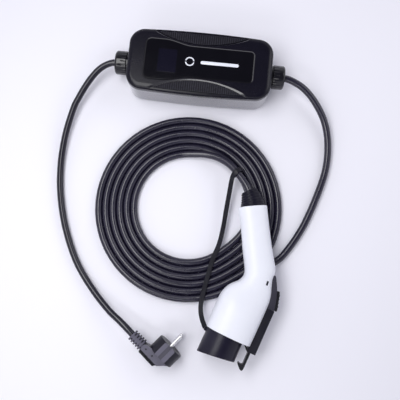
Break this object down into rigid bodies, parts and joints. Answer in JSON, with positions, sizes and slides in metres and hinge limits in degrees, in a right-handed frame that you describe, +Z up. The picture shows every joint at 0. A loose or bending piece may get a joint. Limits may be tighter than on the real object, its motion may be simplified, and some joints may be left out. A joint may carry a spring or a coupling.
{
  "type": "portable ev charger",
  "caption": "Portable electric-car charger with a black control box, an angled mains plug, a coiled cable and a white latching connector under a tethered cap.",
  "frame": {"origin": "middle of the control box's underside, on the floor", "axes": "+X along the box toward the car cable's gland, +Y away from the coil, +Z up"},
  "size_m": [0.3615, 0.4264, 0.0538],
  "materials": {
    "box_black": "satin",
    "panel_black": "gloss",
    "screen": "gloss",
    "light_white": "gloss",
    "grip_grey": "matte",
    "seal_black": "matte",
    "steel": "brushed",
    "board_green": "satin",
    "part_dark": "matte",
    "capacitor_blue": "satin",
    "terminal_green": "matte",
    "core_brown": "matte",
    "gland_black": "gloss",
    "cable_black": "satin",
    "plug_black": "satin",
    "nickel": "polished",
    "shell_white": "gloss",
    "nose_black": "satin",
    "contact_brass": "polished",
    "latch_black": "satin",
    "bezel_grey": "matte",
    "cap_rubber": "matte"
  },
  "bodies": {
    "charger": {"box_base": "box_black", "box_cover": "box_black", "box_seal": "seal_black", "front_panel": "panel_black", "display_module": "screen", "light_bar": "light_white", "touch_ring": "light_white", "grip_rear": "grip_grey", "grip_front": "grip_grey", "cover_screws": "steel", "main_board": "board_green", "display_board": "board_green", "power_relays": "part_dark", "current_sensor": "part_dark", "supply_module": "part_dark", "capacitors": "capacitor_blue", "input_terminals": "terminal_green", "output_terminals": "terminal_green", "supply_cores": "core_brown", "ev_cores": "core_brown", "supply_gland_body": "gland_black", "supply_gland_nut": "gland_black", "supply_gland_seal": "seal_black", "ev_gland_body": "gland_black", "ev_gland_nut": "gland_black", "ev_gland_seal": "seal_black", "gland_locknuts": "gland_black", "supply_cable": "cable_black", "plug_body": "plug_black", "plug_pins": "nickel", "plug_earth_clips": "nickel", "plug_earth_socket": "nickel", "ev_cable_lead": "cable_black", "ev_cable_coil": "cable_black", "ev_cable_tail": "cable_black", "gun_shell_upper": "shell_white", "gun_shell_lower": "shell_white", "gun_nose": "nose_black", "power_contacts": "contact_brass", "earth_contact": "contact_brass", "signal_contacts": "contact_brass", "latch_rail": "latch_black", "latch_bezel": "bezel_grey", "latch_pin": "steel", "latch_spring": "steel", "latch_switch": "part_dark", "cable_boot": "cap_rubber", "cable_clamp": "part_dark", "gun_screws": "steel", "cap_tether": "cap_rubber"},
    "lever": {"latch_lever": "latch_black"},
    "cap": {"dust_cap": "cap_rubber"}
  },
  "joints": [
    {"name": "latch", "type": "hinge", "parent": "charger", "child": "lever", "pos_m": [0.11217, -0.31764, 0.0273], "axis": [0, 0, 1], "range_deg": [0, 6], "stiffness_Nm_per_rad": 0.6, "springref_deg": -5.73, "deforming": ["latch_spring"]},
    {"name": "cap_pull", "type": "slide", "parent": "charger", "child": "cap", "axis": [-0.3338, -0.9426, 0], "range_m": [0, 0.04], "deforming": ["cap_tether"]}
  ]
}
